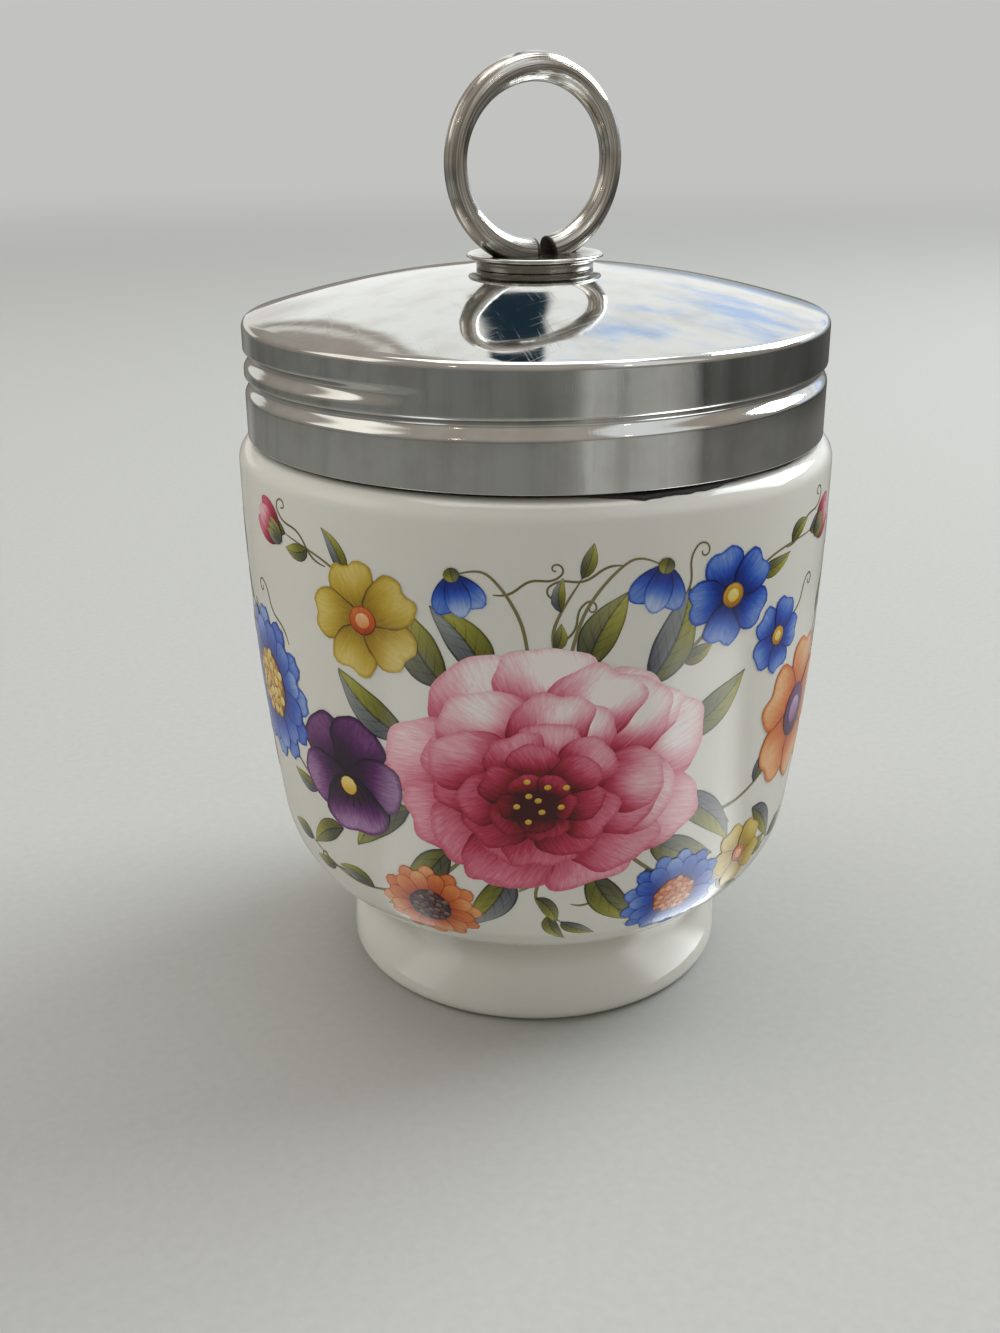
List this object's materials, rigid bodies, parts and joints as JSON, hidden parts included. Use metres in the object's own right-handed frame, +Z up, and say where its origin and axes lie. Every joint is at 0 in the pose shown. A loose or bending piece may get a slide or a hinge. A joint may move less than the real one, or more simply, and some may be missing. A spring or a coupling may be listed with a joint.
{
  "type": "egg coddler",
  "caption": "Porcelain cup on a foot with a chromed screw-on lid and a fixed lifting ring, for cooking an egg in hot water.",
  "frame": {"origin": "on the surface the cup stands on, under the centre of the foot ring", "axes": "+Z up along the axis of cup, neck and lid; the lifting ring lies in the XZ plane with the lid screwed down, and its finger hole looks along Y"},
  "size_m": [0.0626, 0.0626, 0.098],
  "materials": {
    "porcelain": "clear gloss glaze over white porcelain with fired flower prints; the ground ring is bare",
    "seal_rubber": "black, dull and perished",
    "lid_chrome": "mirror chrome with fine wear scratches",
    "collar_chrome": "mirror chrome, duller in its hollow",
    "ring_chrome": "chromed wire, worn along its length",
    "washer_steel": "plain zinc-plated"
  },
  "bodies": {
    "pot": {"cup": "porcelain", "seal": "seal_rubber"},
    "riser": {"washer": "washer_steel"},
    "lid": {"lid_shell": "lid_chrome", "collar": "collar_chrome", "lifting_ring": "ring_chrome"}
  },
  "joints": [
    {"name": "lid_lift", "type": "slide", "parent": "pot", "child": "riser", "axis": [0, 0, 1], "range_m": [0, 0.01041]},
    {"name": "lid_turn", "type": "hinge", "parent": "riser", "child": "lid", "pos_m": [0, 0, 0.0774], "axis": [0, 0, 1], "range_deg": [0, 1440]}
  ],
  "couplings": [
    {"joint": "lid_lift", "follows": "lid_turn", "m_per_rad": 0.0004138}
  ]
}
